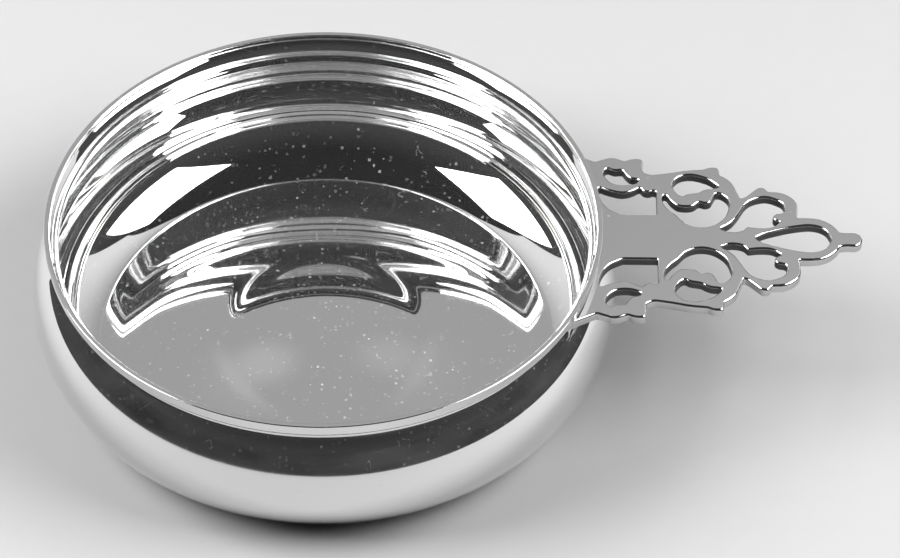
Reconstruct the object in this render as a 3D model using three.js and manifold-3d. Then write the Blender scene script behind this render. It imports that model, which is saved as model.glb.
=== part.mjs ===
// A silver porringer: a raised bowl with a turned-out lip and a domed floor, a cast and pierced
// keyhole handle, and the seam of hard solder that holds the handle to the neck of the bowl.
// Millimetres, +Z up. The bowl is drawn about its own axis, and the whole is then centred over
// its rest plane.
import * as THREE from 'three';
import { mergeVertices } from 'three/addons/utils/BufferGeometryUtils.js';
import Module from 'manifold-3d';

const wasm = await Module();
wasm.setup();

// Bowl
const HEIGHT = 39.6;
const MOUTH_RADIUS = 63.5;
const WALL = 0.9;
const LIP_FACE = 2.3;
const LIP_THICKENING = 0.3;
const NECK_DEPTH = 5.2;
const NECK_INSET = 2.3;
const NECK_FILLET = 1.5;
const BELLY_SWELL = 3.4;
const LOWER_RADIUS = 19.9;

// Foot of the wall: the edge of the floor lifts on a wide arc, and a soft crease turns it up into the
// wall's own arc
const FLOOR_EDGE_RADIUS = 42.9;
const FLOOR_EDGE_WIDTH = 5.2;
const CREASE_RADIUS = 6.9;

// Inside of the lip: a short upright face over a tight hollow turn, which leaves the neck a softer
// bulge inside than outside
const INNER_LIP_FACE = 1;
const INNER_FLARE = 0.6;

// Floor: a flat ring to stand on, a shallow dish that lifts from it to the boss, and the boss, a low
// dome with a hollow foot
const STANDING_WIDTH = 7;
const DISH_RISE = 0.28;
const BOSS_RADIUS = 27;
const BOSS_FOOT_WIDTH = 4.8;
const DOME_RISE = 1.64;

// Handle
const HANDLE_REACH = 59.2;
const HANDLE_SPAN = 51.6;
const HANDLE_THICKNESS = 2.5;
const HANDLE_DROP = 3.3;
const JOINT_CLEARANCE = 0.3;

// Solder seam under the handle
const SOLDER_LEG = 2.6;
const SOLDER_DROP = 2.0;
const SOLDER_TOE = 0.25;
const SOLDER_INSET = 1.5;
const HOLLOW_STEPS = 4;

// Facets: steps round the bowl, how far a facet of its profile may lie inside the true arc, steps
// of each bend of the floor, steps between two points of the handle's outline, and how near two
// points are the same
const ROUND_STEPS = 72;
const FACET_SAG = 0.08;
const FLOOR_STEPS = 3;
const OUTLINE_STEPS = 2;
const SAME_POINT = 1e-4;

// Sizes that follow from the driving ones
const neckRadius = MOUTH_RADIUS - NECK_INSET;
const neckZ = HEIGHT - NECK_DEPTH;
const bellyRadius = MOUTH_RADIUS + BELLY_SWELL;
const baseRadius = bellyRadius - LOWER_RADIUS;
const lipBaseRadius = MOUTH_RADIUS - LIP_THICKENING;
const standingRadius = baseRadius - STANDING_WIDTH;
const domeRadius = BOSS_RADIUS - BOSS_FOOT_WIDTH;
const domeSlope = (2 * DOME_RISE) / domeRadius;
const dishSlope = (2 * DISH_RISE) / (standingRadius - BOSS_RADIUS);
const domeFoot = DISH_RISE + ((domeSlope + dishSlope) * BOSS_FOOT_WIDTH) / 2;
const bossTop = domeFoot + DOME_RISE;
const handleTop = HEIGHT - HANDLE_DROP;
const handleUnderside = handleTop - HANDLE_THICKNESS;

// Two tangent arcs carry the wall between two points where it stands upright. The turn is the
// angle of each arc, and the two radii add up to the sum.
function doubleBend(radialStep, heightStep) {
  return {
    turn: 2 * Math.atan2(radialStep, heightStep),
    sum: (radialStep ** 2 + heightStep ** 2) / (2 * radialStep),
  };
}

// Floor edge, crease and lower wall are tangent arcs, the first from the flat base and the last to the
// upright side of the belly. A turn is the slope at the end of an arc.
const edgeTurn = Math.asin(FLOOR_EDGE_WIDTH / FLOOR_EDGE_RADIUS);
const creaseShare = (FLOOR_EDGE_RADIUS - CREASE_RADIUS) / (LOWER_RADIUS - CREASE_RADIUS);
const creaseTurn = Math.asin(creaseShare * Math.sin(edgeTurn));
const edgeCentre = new THREE.Vector2(baseRadius, FLOOR_EDGE_RADIUS);
const creaseCentre = tangentCentre(edgeCentre, FLOOR_EDGE_RADIUS - CREASE_RADIUS, edgeTurn);
const lowerCentre = tangentCentre(creaseCentre, CREASE_RADIUS - LOWER_RADIUS, creaseTurn);
const bellyZ = lowerCentre.y;

const shoulder = doubleBend(bellyRadius - neckRadius, neckZ - bellyZ);
const shoulderRadius = shoulder.sum - NECK_FILLET;
const innerNeckTurn = lipFlare(INNER_LIP_FACE).sum - INNER_FLARE;

// The centre of an arc that runs on from another at a turn, its radius smaller by the step.
function tangentCentre(centre, step, turn) {
  return new THREE.Vector2(centre.x + step * Math.sin(turn), centre.y - step * Math.cos(turn));
}

// The bend from the neck out to a lip whose upright face has the given height.
function lipFlare(lipFace) {
  return doubleBend(lipBaseRadius - neckRadius, HEIGHT - lipFace - neckZ);
}

function arc(centre, radius, start, end) {
  const step = 2 * Math.acos(1 - FACET_SAG / radius);
  const steps = Math.ceil(Math.abs(end - start) / step);
  const curve = new THREE.EllipseCurve(centre.x, centre.y, radius, radius, start, end, end < start);
  return curve.getPoints(steps);
}

// The bowl's wall from the edge of its flat base to the foot of the lip, set in from the outer
// surface by a depth. Shoulder and flare get what the turn at the neck leaves of their two bends.
function wallProfile(depth, lipFace, neckTurn) {
  const base = -Math.PI / 2;
  const flare = lipFlare(lipFace);
  const flareRadius = flare.sum - neckTurn;
  const upperRadius = shoulder.sum - neckTurn;
  const upper = new THREE.Vector2(bellyRadius - depth - upperRadius, bellyZ);
  const neck = new THREE.Vector2(neckRadius - depth + neckTurn, neckZ);
  const lip = new THREE.Vector2(lipBaseRadius - depth - flareRadius, HEIGHT - lipFace);
  return [
    ...arc(edgeCentre, FLOOR_EDGE_RADIUS - depth, base, base + edgeTurn),
    ...arc(creaseCentre, CREASE_RADIUS - depth, base + edgeTurn, base + creaseTurn).slice(1),
    ...arc(lowerCentre, LOWER_RADIUS - depth, base + creaseTurn, 0).slice(1),
    ...arc(upper, upperRadius, 0, shoulder.turn).slice(1),
    ...arc(neck, neckTurn, Math.PI + shoulder.turn, Math.PI - flare.turn).slice(1),
    ...arc(lip, flareRadius, -flare.turn, 0).slice(1),
  ];
}

function outerWall(depth) {
  return wallProfile(depth, LIP_FACE, NECK_FILLET + depth);
}

// The floor from the middle of the boss to the ring that it stands on, raised by a thickness. Dome,
// foot and dish are parabolas, and each meets the next on one slope.
function floorProfile(thickness) {
  const at = (radius, z) => new THREE.Vector2(radius, z + thickness);
  const domeEdge = at(domeRadius, domeFoot);
  const bossEdge = at(BOSS_RADIUS, DISH_RISE);
  const footMiddle = (domeRadius + BOSS_RADIUS) / 2;
  const dishMiddle = (BOSS_RADIUS + standingRadius) / 2;
  const footTurn = at(footMiddle, DISH_RISE + (dishSlope * BOSS_FOOT_WIDTH) / 2);
  const dome = new THREE.QuadraticBezierCurve(at(0, bossTop), at(domeRadius / 2, bossTop), domeEdge);
  const foot = new THREE.QuadraticBezierCurve(domeEdge, footTurn, bossEdge);
  const dish = new THREE.QuadraticBezierCurve(bossEdge, at(dishMiddle, 0), at(standingRadius, 0));
  return [
    ...dome.getPoints(FLOOR_STEPS),
    ...foot.getPoints(FLOOR_STEPS).slice(1),
    ...dish.getPoints(FLOOR_STEPS).slice(1),
  ];
}

function revolve(points) {
  return new THREE.LatheGeometry(points, ROUND_STEPS).rotateX(Math.PI / 2);
}

function bowlGeometry() {
  return revolve([
    ...floorProfile(0),
    ...outerWall(0),
    new THREE.Vector2(MOUTH_RADIUS, HEIGHT),
    new THREE.Vector2(lipBaseRadius - WALL, HEIGHT),
    ...wallProfile(WALL, INNER_LIP_FACE, innerNeckTurn).reverse(),
    ...floorProfile(WALL).reverse(),
  ]);
}

// The space the bowl takes up with its clearance, as a filled solid to cut its neighbours with.
function bowlSpaceGeometry() {
  const skin = outerWall(-JOINT_CLEARANCE);
  return revolve([
    new THREE.Vector2(0, -JOINT_CLEARANCE),
    ...skin,
    new THREE.Vector2(MOUTH_RADIUS + JOINT_CLEARANCE, HEIGHT),
    new THREE.Vector2(0, HEIGHT),
  ]);
}

// Joins and cuts
function toSolid(geometry) {
  const bare = new THREE.BufferGeometry();
  bare.setAttribute('position', geometry.getAttribute('position'));
  bare.setIndex(geometry.getIndex());
  const merged = mergeVertices(bare);
  const corners = merged.getIndex().array;
  const triangles = [];
  for (let i = 0; i < corners.length; i += 3) {
    const [a, b, c] = corners.slice(i, i + 3);
    if (a !== b && b !== c && c !== a) triangles.push(a, b, c);
  }
  return new wasm.Manifold(new wasm.Mesh({
    numProp: 3,
    vertProperties: new Float32Array(merged.getAttribute('position').array),
    triVerts: new Uint32Array(triangles),
  }));
}

function toGeometry(solid) {
  const mesh = solid.getMesh();
  const geometry = new THREE.BufferGeometry();
  geometry.setAttribute('position', new THREE.BufferAttribute(mesh.vertProperties, 3));
  geometry.setIndex(new THREE.BufferAttribute(mesh.triVerts, 1));
  geometry.computeVertexNormals();
  return geometry;
}

// The handle's ornament, drawn for one half: x out from the mouth of the bowl, y out from the
// handle's axis. Each stretch is a smooth curve through its points, or a straight line to its one
// point, and two stretches meet at a corner. The drawing is stretched to the handle's reach and span.
const DRAWN_REACH = 59.2;
const DRAWN_SPAN = 51.6;

// From under the lip, over the horn and down the scrolls to the knob on the axis
const HALF_OUTLINE = [
  [[-9.5, 28.6], [-4, 25.7], [-1.6, 24.4]],
  [[0.1, 25.1], [2.2, 25.8], [4.1, 25.3], [5.3, 24.7]],
  [[6.8, 25.4], [8.9, 25.5], [9.6, 24.6], [9.5, 22.8], [9.7, 21.1], [11.5, 20.3]],
  [[15.5, 21], [19.5, 21.9], [23.5, 22.3]],
  [[24.6, 22.9], [26.6, 22.9], [27.1, 21.8], [27.1, 20.5]],
  [[28.7, 19.4], [30.1, 17.6], [31, 15], [31.7, 12.9]],
  [[32.8, 13.4], [34.7, 15.4], [35.8, 16.4], [37.3, 16.4], [38, 15.2]],
  [[40.8, 15], [42.9, 13.9], [44.3, 12.3], [44.8, 10.2], [44.5, 6.8]],
  [[46.8, 6.85], [49.4, 6.5], [51.6, 5.4], [53.2, 3.7], [53.9, 2.4]],
  [[55.6, 2.1], [57.4, 2.2], [58.7, 1.4], [59.2, 0]],
];

// The small eye beside the horn
const EYE = [
  [[0.4, 20.5], [0.9, 19.1], [2, 17.7], [3.5, 16.9], [5.8, 16.8], [7.5, 17.3], [8.6, 18]],
  [[8.1, 18.7], [6.8, 18.8], [5.7, 19.8], [5, 21], [4.6, 21.7]],
  [[3.2, 21.4], [2, 21.8], [1.5, 22.2]],
  [[0.8, 21.7], [0.4, 20.5]],
];

// The window with one straight side along the handle's middle bar
const WINDOW = [
  [[4.6, 7.1], [3, 8], [1.5, 9], [0, 11.2], [-0.9, 13.9], [-1, 15.3]],
  [[-0.4, 15.9], [0.5, 15.3]],
  [[3, 14.4], [5, 14.1], [7, 14.8], [8.7, 16]],
  [[9.3, 15], [10, 14.6], [10.8, 14.5], [11.8, 15.1]],
  [[12.4, 14.6]],
  [[12.4, 7.1]],
  [[4.6, 7.1]],
];

// The crescent over the round scroll
const CRESCENT = [
  [[16.3, 16], [16.2, 17], [16.8, 18.5], [18, 19.7], [19.5, 20.2], [21, 20.2], [23, 19.6], [25, 18.5],
    [26.9, 16.4]],
  [[26, 16.1], [24.3, 15.9]],
  [[23, 15.3], [22, 14.6], [19.5, 14.1], [18.5, 13.3]],
  [[17.5, 14], [16.7, 15.2], [16.3, 16]],
];

// The round scroll with its curled leaf
const SCROLL = [
  [[14.2, 10.5], [13.7, 12.3], [14.1, 13.5], [14.5, 13.8]],
  [[15, 13], [15.5, 12], [16.5, 10.8], [17.5, 10.1], [19.5, 9.9], [21, 10.3], [21.9, 11.3]],
  [[22.5, 11.5], [23.2, 11]],
  [[24.5, 11.2], [25, 11.8], [25.5, 13], [26, 14.2]],
  [[26.7, 14.4], [27.7, 13.8], [28.7, 12.6], [29.1, 11], [28.9, 9.9], [28.1, 7], [26.2, 4.7], [23.8, 3.5],
    [21.2, 3.5], [19, 4.6], [17.5, 6.4]],
  [[16.9, 7.2], [15.5, 8.6], [14.2, 10.5]],
];

// The leaf beside the hanging hole
const LEAF = [
  [[26.8, 2.9], [29, 1.95], [31.8, 2.4], [32.9, 3.8]],
  [[35.5, 3.4], [38.5, 3.6], [40.6, 5.3]],
  [[39.2, 6], [38.9, 7], [39.6, 7.9], [41.3, 8.3]],
  [[41.7, 9.5], [41.4, 11], [40.5, 12], [38.5, 13], [36.8, 13.2], [34.5, 12.4], [32.9, 11], [31.8, 9],
    [30.7, 6.8], [29.3, 4.8], [27.7, 3.6], [26.8, 2.9]],
];

// Half of the pear-shaped hanging hole on the axis
const HALF_PEAR = [
  [[34.7, 0], [36.5, 1.3], [39.5, 2.45], [42.5, 3.4], [45.5, 4.05], [47.5, 4.2], [49.5, 3.7], [51, 2.5],
    [52, 0]],
];

function trace(stretches) {
  const along = HANDLE_REACH / DRAWN_REACH;
  const across = HANDLE_SPAN / DRAWN_SPAN;
  const placed = stretches.map((points) => points.map(([x, y]) =>
    new THREE.Vector2(MOUTH_RADIUS + x * along, y * across)));
  const path = new THREE.Path();
  const [first, ...rest] = placed;
  path.moveTo(first[0].x, first[0].y);
  for (const points of [first.slice(1), ...rest]) {
    if (points.length > 1) path.splineThru(points);
    else path.lineTo(points[0].x, points[0].y);
  }
  return path.getPoints(OUTLINE_STEPS);
}

// A closed outline without the point that would stand twice where two stretches or halves meet.
function closed(points) {
  return points.filter((point, i) => point.distanceTo(points.at(i - 1)) > SAME_POINT);
}

function mirrored(points) {
  return points.map((point) => new THREE.Vector2(point.x, -point.y)).reverse();
}

// Both halves as one outline, run counter-clockwise.
function bothHalves(stretches) {
  const half = trace(stretches);
  return closed([...half, ...mirrored(half)]).reverse();
}

function handleShape() {
  const shape = new THREE.Shape(bothHalves(HALF_OUTLINE));
  const pairs = [EYE, WINDOW, CRESCENT, SCROLL, LEAF].map(trace).map(closed);
  for (const hole of pairs) shape.holes.push(new THREE.Path(hole), new THREE.Path(mirrored(hole)));
  shape.holes.push(new THREE.Path(bothHalves(HALF_PEAR)));
  return shape;
}

function plate(shape, bottom, thickness) {
  return new THREE.ExtrudeGeometry(shape, { depth: thickness, bevelEnabled: false }).translate(0, 0, bottom);
}

function handleGeometry(bowlSpace) {
  const blank = toSolid(plate(handleShape(), handleUnderside, HANDLE_THICKNESS));
  return toGeometry(blank.subtract(bowlSpace));
}

// The outer radius of the bowl's shoulder at a height below the neck.
function shoulderRadiusAt(z) {
  return bellyRadius - shoulderRadius + Math.sqrt(shoulderRadius ** 2 - (z - bellyZ) ** 2);
}

// A wedge of solder in the corner between the handle's underside and the shoulder, with a hollow
// outer face, over the arc that the handle's horns span.
function solderGeometry(bowlSpace) {
  const low = handleUnderside - SOLDER_DROP;
  const toe = shoulderRadiusAt(low) + JOINT_CLEARANCE + SOLDER_TOE;
  const outer = Math.max(neckRadius + SOLDER_LEG, toe);
  const hollow = new THREE.QuadraticBezierCurve(
    new THREE.Vector2(toe, low),
    new THREE.Vector2(toe, handleUnderside),
    new THREE.Vector2(outer, handleUnderside),
  );
  const inner = neckRadius - WALL;
  const section = [
    new THREE.Vector2(inner, low),
    ...hollow.getPoints(HOLLOW_STEPS),
    new THREE.Vector2(inner, handleUnderside),
    new THREE.Vector2(inner, low),
  ];
  const halfAngle = Math.asin((HANDLE_SPAN / 2 - SOLDER_INSET) / MOUTH_RADIUS);
  const far = 2 * MOUTH_RADIUS;
  const sector = new THREE.Shape([
    new THREE.Vector2(0, 0),
    new THREE.Vector2(far, -far * Math.tan(halfAngle)),
    new THREE.Vector2(far, far * Math.tan(halfAngle)),
  ]);
  const ring = toSolid(revolve(section)).subtract(bowlSpace);
  return toGeometry(ring.intersect(toSolid(plate(sector, low, handleUnderside - low))));
}

function piece(name, geometry, colour, roughness) {
  const material = new THREE.MeshStandardMaterial({ color: colour, roughness, metalness: 1 });
  const mesh = new THREE.Mesh(geometry, material);
  mesh.name = name;
  return mesh;
}

const POLISHED_SILVER = 0xf0efec;
const SOLDER_SILVER = 0xd8d6d0;
const bowlSpace = toSolid(bowlSpaceGeometry());

const porringer = new THREE.Group();
porringer.add(piece('bowl', bowlGeometry(), POLISHED_SILVER, 0.06));
porringer.add(piece('handle', handleGeometry(bowlSpace), POLISHED_SILVER, 0.08));
porringer.add(piece('handle_solder', solderGeometry(bowlSpace), SOLDER_SILVER, 0.25));
porringer.position.x = -(MOUTH_RADIUS + HANDLE_REACH - bellyRadius) / 2;

export default porringer;
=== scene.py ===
"""A silver porringer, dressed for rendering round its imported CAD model.

The bowl, the pierced handle and the solder seam are surfaces worked out with numpy from a few sizes and
from the CAD frame, in metres, +Z up. The stage is a pale paper floor under the soft light that silver is
photographed in: two softboxes, a paper backdrop behind and a black flag in front.
"""

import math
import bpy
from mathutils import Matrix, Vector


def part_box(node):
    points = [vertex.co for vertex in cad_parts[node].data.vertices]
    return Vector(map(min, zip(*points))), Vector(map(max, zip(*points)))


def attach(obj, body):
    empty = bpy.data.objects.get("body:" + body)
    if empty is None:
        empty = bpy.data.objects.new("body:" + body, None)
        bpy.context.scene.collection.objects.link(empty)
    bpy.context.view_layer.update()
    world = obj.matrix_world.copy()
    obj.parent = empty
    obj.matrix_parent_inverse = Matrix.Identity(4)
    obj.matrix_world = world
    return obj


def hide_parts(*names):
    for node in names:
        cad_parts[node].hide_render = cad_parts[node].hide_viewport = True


bl_info = {
    "name": "Porringer",
    "version": (1, 0, 0),
    "blender": (4, 5, 0),
    "location": "View3D > Sidebar > Porringer",
    "description": "Builds a polished silver porringer and its studio round the CAD frame",
    "category": "Add Mesh",
}

import bpy
import numpy as np
from bpy.props import FloatProperty, FloatVectorProperty, IntProperty, PointerProperty
from bpy.types import Operator, Panel, PropertyGroup
from mathutils import Quaternion, Vector
from mathutils.geometry import delaunay_2d_cdt

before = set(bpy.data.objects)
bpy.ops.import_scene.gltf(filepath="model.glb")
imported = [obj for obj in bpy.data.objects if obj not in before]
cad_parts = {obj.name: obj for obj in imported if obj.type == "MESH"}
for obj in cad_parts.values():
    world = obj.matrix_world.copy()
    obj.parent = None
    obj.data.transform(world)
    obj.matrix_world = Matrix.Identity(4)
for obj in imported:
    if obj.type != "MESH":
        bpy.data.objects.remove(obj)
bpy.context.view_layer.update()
BOWL_LOW, BOWL_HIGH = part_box("bowl")
HANDLE_LOW, HANDLE_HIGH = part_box("handle")
SEAM_LOW, SEAM_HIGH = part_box("handle_solder")
AXIS_X = (BOWL_LOW.x + BOWL_HIGH.x) / 2
MM = 0.001

# Bowl and handle: steps, tolerances and shares of the rounding
SAME_POINT = 1e-8
SAME_DIGITS = 7
FLAT_WITHIN = 0.01 * MM
FEWEST_ARC_STEPS = 4
STANDING_POINTS = 4
FEWEST_POINTS = 16
EDGE_STEPS = 8
RIM_SHARE = 1.1
WORN_SPREAD = 0.9
LEAST_ROUNDING = 0.1
SEAT_REACH = 0.15 * MM
SEAT_MARGIN = 0.15 * MM
TRIANGLES_INSIDE = 1
MERGE_WITHIN = 1e-6

# Solder seam: steps, taper, and the size, turns and phase of each wave along it
SEAM_STEPS = 161
CURVE_STEPS = 9
SEAM_TAPER = 8
SEAM_END = 0.02
SEAM_WAVES = ((1.0, 9, 1), (0.7, 23, 0), (0.4, 47, 2))
SEAM_HOLLOW = 0.2
SEAM_BURIED = 0.2 * MM

# Marks on the silver: pitches and lengths as drawn, the rest as shares
RING_PITCH = 3 * MM
RING_DRIFT = 0.04
HAMMER_PITCH = 18 * MM
SPECK_PITCH = 1.3 * MM
SPECK_REACH = 0.36
SPECK_EDGE = 0.08
SPECK_RARITY = 8.0
SPECK_FAINTEST, SPECK_STRONGEST = 0.13, 0.6
CURL_PITCH = 4.5 * MM
CURL_BEND = 2 * MM
CURL_BREAK = 1.5 * MM
CURL_RADIUS = 0.2
CURL_WIDTH = 0.035
CURL_FROM, CURL_FULL = 0.5, 0.62
CURL_STRONGEST = 0.4
WORN_BELOW, SPARED_ABOVE = 3 * MM, 12 * MM
SPARED_SHARE = 0.45
HAIR_SPREAD = (9 * MM, 0.35 * MM, 9 * MM)
HAIR_TURNS_AND_SEEDS = ((0.4, 0.0), (1.5, 7.0), (2.6, 13.0))
HAIR_FROM, HAIR_FULL = 0.78, 0.88
HAIR_STRONGEST = 0.025
SHEET_SPECKS, CASTING_SPECKS = 0.7, 0.12
SCRATCH_ROUGHNESS = 0.9
TARNISH_ROUGHNESS = 0.4
HAZE_ROUGHNESS = 0.8
# Painted shade in the tarnished colour: its share round the handle's outline, and the angle round the bowl
# at which it is strongest on the outside
OUTLINE_PAINTED_SHADE = 0.45
PAINTED_SHADE_MIDDLE = -105
SOLDER_RIPPLE = 0.8 * MM
SOLDER_RELIEF = 0.05 * MM
SOLDER_SMOOTHEST, SOLDER_ROUGHEST = 0.2, 0.5

# Studio: lengths in metres, directions in degrees
FLOOR_REACH = 6.0
PAPER_MOTTLE = 6 * MM
PAPER_SHADE = 0.97
PAPER_ROUGHNESS = 0.9
PAPER_GLOSS = 0.1
BACKDROP_RADIUS = 1.0
BACKDROP_TURN = 67
BACKDROP_FOOT = 6
BACKDROP_HEIGHT = 68
BACKDROP_DIP = 30
BACKDROP_DIP_TURN = 70
BACKDROP_DIP_POWER = 2.2
BACKDROP_COLUMNS, BACKDROP_ROWS = 69, 33
BACKDROP_DIM, BACKDROP_BRIGHT = 22, 64
GLOW_SPOTS = (((-18, 51), 0.28), ((14, 49.5), 0.17))
GLOW_EDGE, GLOW_CORE = 0.14, 0.02
FLAG_FROM, FLAG_TO = 68, 292
FLAG_STEPS = 113
FLAG_RADIUS = 0.206
FLAG_HEIGHT = 0.08
FLAG_PATCH = 70 * MM
FLAG_PATCH_LOW, FLAG_PATCH_HIGH = 0.3, 0.7
FLAG_DULL, FLAG_GLEAM = 0.55, 1.5
SOFTBOX_DISTANCE = 0.9
CEILING_FROM, CEILING_FULL = 0.35, 0.8
CAMERA_PLACE = (0.00257, -0.84857, 0.88754)
CAMERA_AIM = (0.00098, -0.01756, 0.0396)
CAMERA_ROLL = 0.602
GLOSSY_BOUNCES = 10

# Name, azimuth, elevation, roll, width, height and share of the power of each softbox
SOFTBOXES = (
    ("softbox_left", -93.3, 42, -10, 0.58, 0.52, 1.08),
    ("softbox_right", 97, 44, 1.5, 0.61, 0.49, 0.92),
)


def linear(hex_colour):
    """An sRGB hex value as linear red, green and blue."""
    srgb = np.array([int(hex_colour[i:i + 2], 16) for i in (0, 2, 4)]) / 255
    return tuple(np.where(srgb <= 0.04045, srgb / 12.92, ((srgb + 0.055) / 1.055) ** 2.4).tolist())


def length(name, description, millimetres):
    """A length property whose default is given in millimetres."""
    return FloatProperty(name=name, description=description, default=millimetres * MM, precision=5,
                         unit="LENGTH")


def colour(name, description, hex_colour):
    """A colour property whose default is given as an sRGB hex value."""
    return FloatVectorProperty(name=name, description=description, default=linear(hex_colour), size=3,
                               min=0, max=1, subtype="COLOR")


def factor(name, description, default):
    """A property from 0 to 1."""
    return FloatProperty(name=name, description=description, default=default, min=0, max=1,
                         subtype="FACTOR")


class BowlSizes(PropertyGroup):
    """Section of the bowl. Its height and belly come from the CAD frame."""

    height: length("Height", "From the table to the top of the lip", BOWL_HIGH.z / MM)
    belly_radius: length("Belly radius", "Widest radius of the bowl", (BOWL_HIGH.x - BOWL_LOW.x) / 2 / MM)
    mouth_radius: length("Mouth radius", "Outer radius of the lip", 63.5)
    wall: length("Wall", "Thickness of the silver sheet", 0.9)
    lip_face: length("Lip face", "Height of the upright face of the lip", 2.3)
    lip_thickening: length("Lip thickening", "How far the lip's outer face leans out", 0.3)
    lip_edge: length("Lip edge", "Rounding of the lip's two edges", 0.22)
    neck_depth: length("Neck depth", "From the top of the lip to the narrowest point", 5.2)
    neck_inset: length("Neck inset", "How far the neck lies inside the mouth", 2.3)
    neck_fillet: length("Neck fillet", "Radius of the turn at the neck", 1.5)
    inner_lip_face: length("Inner lip face", "Height of the upright face inside the lip", 1)
    inner_flare: length("Inner flare", "Radius of the hollow turn under the inner face of the lip", 0.6)
    lower_radius: length("Lower radius", "Radius of the wall's turn below the belly", 19.9)
    crease_radius: length("Crease radius", "Radius of the soft crease between the floor and the wall", 6.9)
    edge_radius: length("Floor edge radius", "Radius of the arc on which the edge of the floor lifts", 42.9)
    edge_width: length("Floor edge width", "Width of the floor from the flat base to the crease", 5.2)
    standing_width: length("Standing ring", "Width of the flat ring that the bowl stands on", 7)
    dish_rise: length("Dish rise", "Rise of the floor from the standing ring to the boss", 0.28)
    boss_radius: length("Boss radius", "Radius of the edge of the boss", 27)
    boss_foot: length("Boss foot", "Width of the hollow turn at the foot of the boss", 4.8)
    dome_rise: length("Dome rise", "Height of the dome inside the hollow turn", 1.64)
    spacing: length("Spacing", "Longest step along the section", 0.75)
    steps: IntProperty(name="Steps", description="Steps round the bowl", default=288, min=24)


class HandleSizes(PropertyGroup):
    """Finish of the cast handle. Its outline is the CAD node's own."""

    edge: length("Edge rounding", "Radius that polishing leaves on every edge", 0.55)
    blur: length("Corner softening", "How far casting and filing soften the corners of the outline", 0.3)
    spacing: length("Spacing", "Step along the outline", 0.2)
    run_out: length("Run-out", "Length of each horn's end over which the rounding runs out", 4)
    seat_sink: length("Seat sink", "How deep the seat is let into the neck of the bowl", 0.7)
    clearance: length("CAD clearance", "Gap between the CAD handle and the CAD bowl", 0.3)


class SeamSizes(PropertyGroup):
    """The seam of solder under the handle."""

    leg: length("Leg", "How far the solder reaches out under the handle", 1.7)
    drop: length("Drop", "How far the solder reaches down the shoulder", 1.6)
    ripple: length("Ripple", "How far the edge of the flowed solder wavers", 0.22)


class SilverFinish(PropertyGroup):
    """Colours and surfaces of the silver."""

    sheet: colour("Sheet", "Polished silver sheet", "F4F4F4")
    casting: colour("Casting", "Polished silver casting", "F2F2F2")
    solder: colour("Solder", "Hard silver solder", "D8D8D8")
    # This colour also paints the shade on the front of the bowl and round the handle's outline
    tarnish_and_painted_shade: colour("Tarnish", "Tarnish left in the piercings", "4C4C4C")
    # Painted shade: the share of the tarnished colour on the front of the bowl's outside
    painted_front_shade: factor("Film", "Share of tarnish on the outside of the bowl", 0.25)
    polish: factor("Polish", "Roughness of the polished silver", 0.03)
    haze: factor("Haze", "Share of the haze of polishing scratches", 0.45)
    ring_height: length("Ring height", "Height of the rings that burnishing leaves", 0.0011)
    hollow_depth: length("Hollow depth", "Depth of the hollows of the planishing hammer", 0.015)


class StudioSetup(PropertyGroup):
    """Paper floor, lights and camera."""

    paper: colour("Paper", "Pale paper floor", "D6D6D6")
    room: colour("Room", "Dark room behind the camera", "404040")
    ceiling: colour("Ceiling", "Unlit ceiling of the room", "262626")
    backdrop: colour("Backdrop", "Middle of the paper backdrop", "A2A2A2")
    backdrop_side: colour("Backdrop side", "Backdrop beside the softboxes", "E8E8E8")
    softbox_power: FloatProperty(name="Softbox power", description="Power of each softbox", default=8.3,
                                 min=0, unit="POWER")
    lens: FloatProperty(name="Lens", description="Focal length on a 36 mm sensor", default=211.26, min=1,
                        unit="CAMERA")


def arc(centre, radius, start, end, spacing):
    """Centre plus radius times (cosine, sine), at equal angles whose steps are at most the spacing."""
    steps = max(FEWEST_ARC_STEPS, math.ceil(abs(end - start) * radius / spacing))
    angle = np.linspace(start, end, steps + 1)
    return np.array(centre) + radius * np.stack([np.cos(angle), np.sin(angle)], axis=1)


def line(start, end, spacing):
    """Equal steps of at most the spacing on a straight line."""
    start, end = np.array(start, float), np.array(end, float)
    steps = max(1, math.ceil(np.linalg.norm(end - start) / spacing))
    return start + (end - start) * np.linspace(0, 1, steps + 1)[:, None]


def chain(*stretches):
    """Stretches end to end, without the point that stands twice where two of them meet."""
    points = np.concatenate(stretches)
    keep = np.append(True, np.linalg.norm(np.diff(points, axis=0), axis=1) > SAME_POINT)
    return points[keep]


def double_bend(radial_step, height_step):
    """Turn of two tangent arcs between two upright points, and the sum of their radii."""
    turn = 2 * math.atan2(radial_step, height_step)
    return turn, (radial_step ** 2 + height_step ** 2) / (2 * radial_step)


def lip_flare(s, lip_face):
    """The bend from the neck out to a lip whose upright face has the given height."""
    return double_bend(s.neck_inset - s.lip_thickening, s.neck_depth - lip_face)


def foot_arcs(s):
    """Centres and end slopes of the three tangent arcs at the foot of the wall: the edge of the floor, the
    crease, and the lower wall, which ends upright at the belly."""
    base = s.belly_radius - s.lower_radius
    edge_turn = math.asin(s.edge_width / s.edge_radius)
    edge_step, crease_step = s.edge_radius - s.crease_radius, s.lower_radius - s.crease_radius
    crease_turn = math.asin(edge_step / crease_step * math.sin(edge_turn))
    edge = np.array([base, s.edge_radius])
    crease = edge + edge_step * np.array([math.sin(edge_turn), -math.cos(edge_turn)])
    lower = crease - crease_step * np.array([math.sin(crease_turn), -math.cos(crease_turn)])
    return (edge, edge_turn), (crease, crease_turn), lower


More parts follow.
